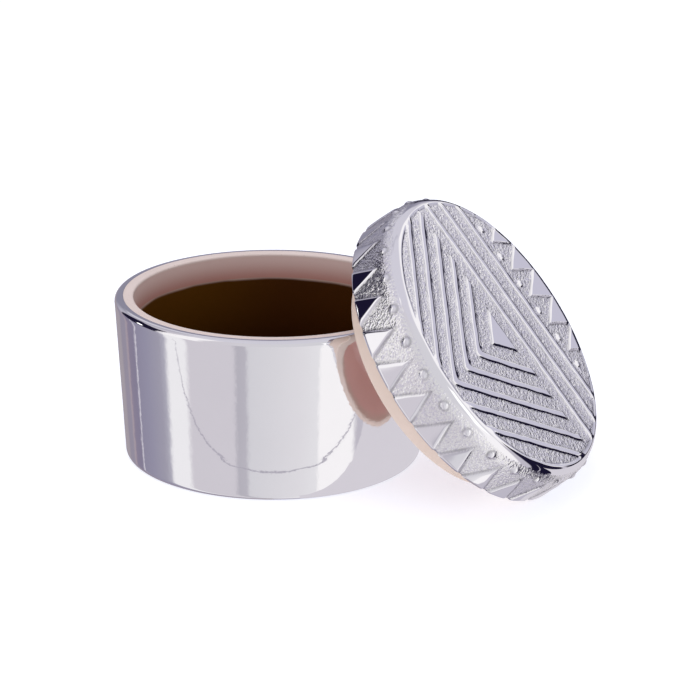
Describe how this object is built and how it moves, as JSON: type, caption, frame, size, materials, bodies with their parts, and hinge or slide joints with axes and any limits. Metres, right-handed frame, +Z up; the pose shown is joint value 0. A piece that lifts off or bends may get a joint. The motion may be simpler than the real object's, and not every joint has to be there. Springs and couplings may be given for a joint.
{
  "type": "candle tin",
  "caption": "Round silver candle vessel with a cream rim and dark glazed inside, and an embossed flanged lid that leans on its rim.",
  "frame": {"origin": "middle of the pot's foot, on the surface it stands on", "axes": "+Z up along the pot's axis; +X towards the lid, which leans against the rim on that side; +Y completes a right-handed frame"},
  "size_m": [0.1546, 0.1, 0.0865],
  "materials": {
    "polished_silver": "polished",
    "embossed_silver": "stippled, with a raised polished pattern",
    "bare_cream": "matte",
    "warm_cream": "matte",
    "dark_glaze": "satin"
  },
  "bodies": {
    "pot": {"pot_shell": "polished_silver", "pot_liner": "bare_cream", "inner_glaze": "dark_glaze"},
    "lid": {"lid_cap": "embossed_silver", "lid_plug": "warm_cream"}
  },
  "joints": [
    {"name": "lid_lift", "type": "slide", "parent": "pot", "child": "lid", "axis": [0, 0, 1], "range_m": [0, 0.1]}
  ]
}
